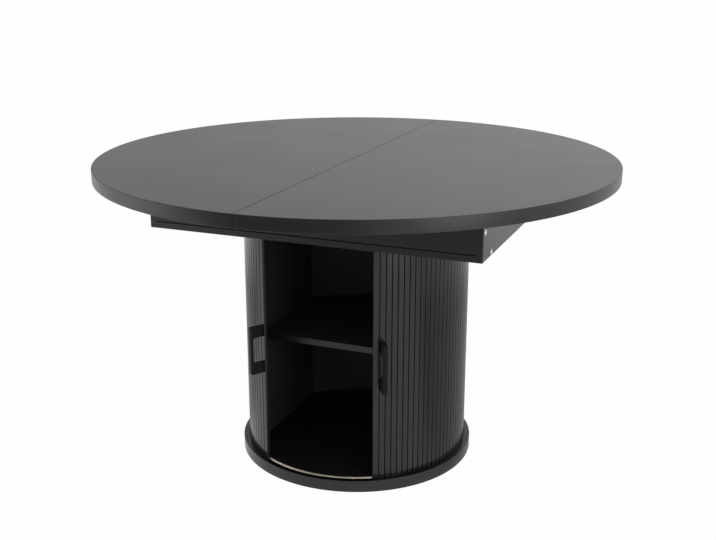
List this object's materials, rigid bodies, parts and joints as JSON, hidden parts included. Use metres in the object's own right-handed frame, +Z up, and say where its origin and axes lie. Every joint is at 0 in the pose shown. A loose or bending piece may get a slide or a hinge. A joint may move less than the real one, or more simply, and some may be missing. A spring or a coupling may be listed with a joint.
{
  "type": "extending dining table",
  "caption": "Round dining table in two sliding half tops on a box apron, over a drum cabinet with curved slatted doors and a shelf.",
  "frame": {"origin": "on the floor, under the axis of the drum cabinet", "axes": "+Z up, +X along the box under the top, the way the half tops slide apart, -Y towards the front, where the doors open"},
  "size_m": [1.2698, 1.27, 0.759],
  "materials": {
    "lacquer_top": "satin black lacquer on board",
    "lacquer_panel": "satin black lacquer on board",
    "lacquer_slats": "satin black lacquered strips",
    "inside_panel": "matt black faced board",
    "raw_wood": "planed beech",
    "backing_cloth": "black woven backing",
    "champagne_metal": "champagne anodised",
    "aluminium_rail": "mill finish extrusion",
    "steel": "zinc plated",
    "black_metal": "black powder coat",
    "nylon": "moulded nylon"
  },
  "bodies": {
    "cabinet": {"back_guide_rail": "aluminium_rail", "back_leaf_bearer": "raw_wood", "back_left_corner_block": "raw_wood", "back_rail": "lacquer_panel", "back_right_corner_block": "raw_wood", "back_shell": "lacquer_panel", "base_board": "lacquer_panel", "base_screws": "steel", "box_bottom_panel": "lacquer_panel", "carcass_screws": "steel", "end_board_screws": "steel", "floor_glides": "nylon", "front_guide_rail": "aluminium_rail", "front_leaf_bearer": "raw_wood", "front_left_corner_block": "raw_wood", "front_rail": "lacquer_panel", "front_right_corner_block": "raw_wood", "guide_rail_screws": "steel", "leaf_hinges": "steel", "leaf_lower_half": "lacquer_top", "leaf_swivel_pin": "steel", "leaf_swivel_plate": "steel", "leaf_upper_half": "lacquer_top", "left_end_board": "lacquer_panel", "left_side_panel": "inside_panel", "lower_track": "champagne_metal", "right_end_board": "lacquer_panel", "right_side_panel": "inside_panel", "shelf": "inside_panel", "shelf_pins": "steel", "upper_track": "champagne_metal"},
    "left_door": {"left_door_backing": "backing_cloth", "left_door_glides": "nylon", "left_door_handle": "black_metal", "left_door_handle_screws": "steel", "left_door_slats": "lacquer_slats", "left_door_stile": "lacquer_slats"},
    "right_door": {"right_door_backing": "backing_cloth", "right_door_glides": "nylon", "right_door_handle": "black_metal", "right_door_handle_screws": "steel", "right_door_slats": "lacquer_slats", "right_door_stile": "lacquer_slats"},
    "top_right": {"seam_dowels": "raw_wood", "top_right_back_runner": "nylon", "top_right_front_runner": "nylon", "top_right_half": "lacquer_top", "top_right_runner_screws": "steel"},
    "top_left": {"top_left_back_runner": "nylon", "top_left_front_runner": "nylon", "top_left_half": "lacquer_top", "top_left_runner_screws": "steel"}
  },
  "joints": [
    {"name": "left_door_turn", "type": "hinge", "parent": "cabinet", "child": "left_door", "pos_m": [0, 0, 0.32], "axis": [0, 0, 1], "range_deg": [0, 29.9]},
    {"name": "right_door_turn", "type": "hinge", "parent": "cabinet", "child": "right_door", "pos_m": [0, 0, 0.32], "axis": [0, 0, -1], "range_deg": [0, 29.9]},
    {"name": "left_top_slide", "type": "slide", "parent": "cabinet", "child": "top_left", "axis": [-1, 0, 0], "range_m": [0, 0.2]},
    {"name": "right_top_slide", "type": "slide", "parent": "cabinet", "child": "top_right", "axis": [1, 0, 0], "range_m": [0, 0.2]}
  ]
}
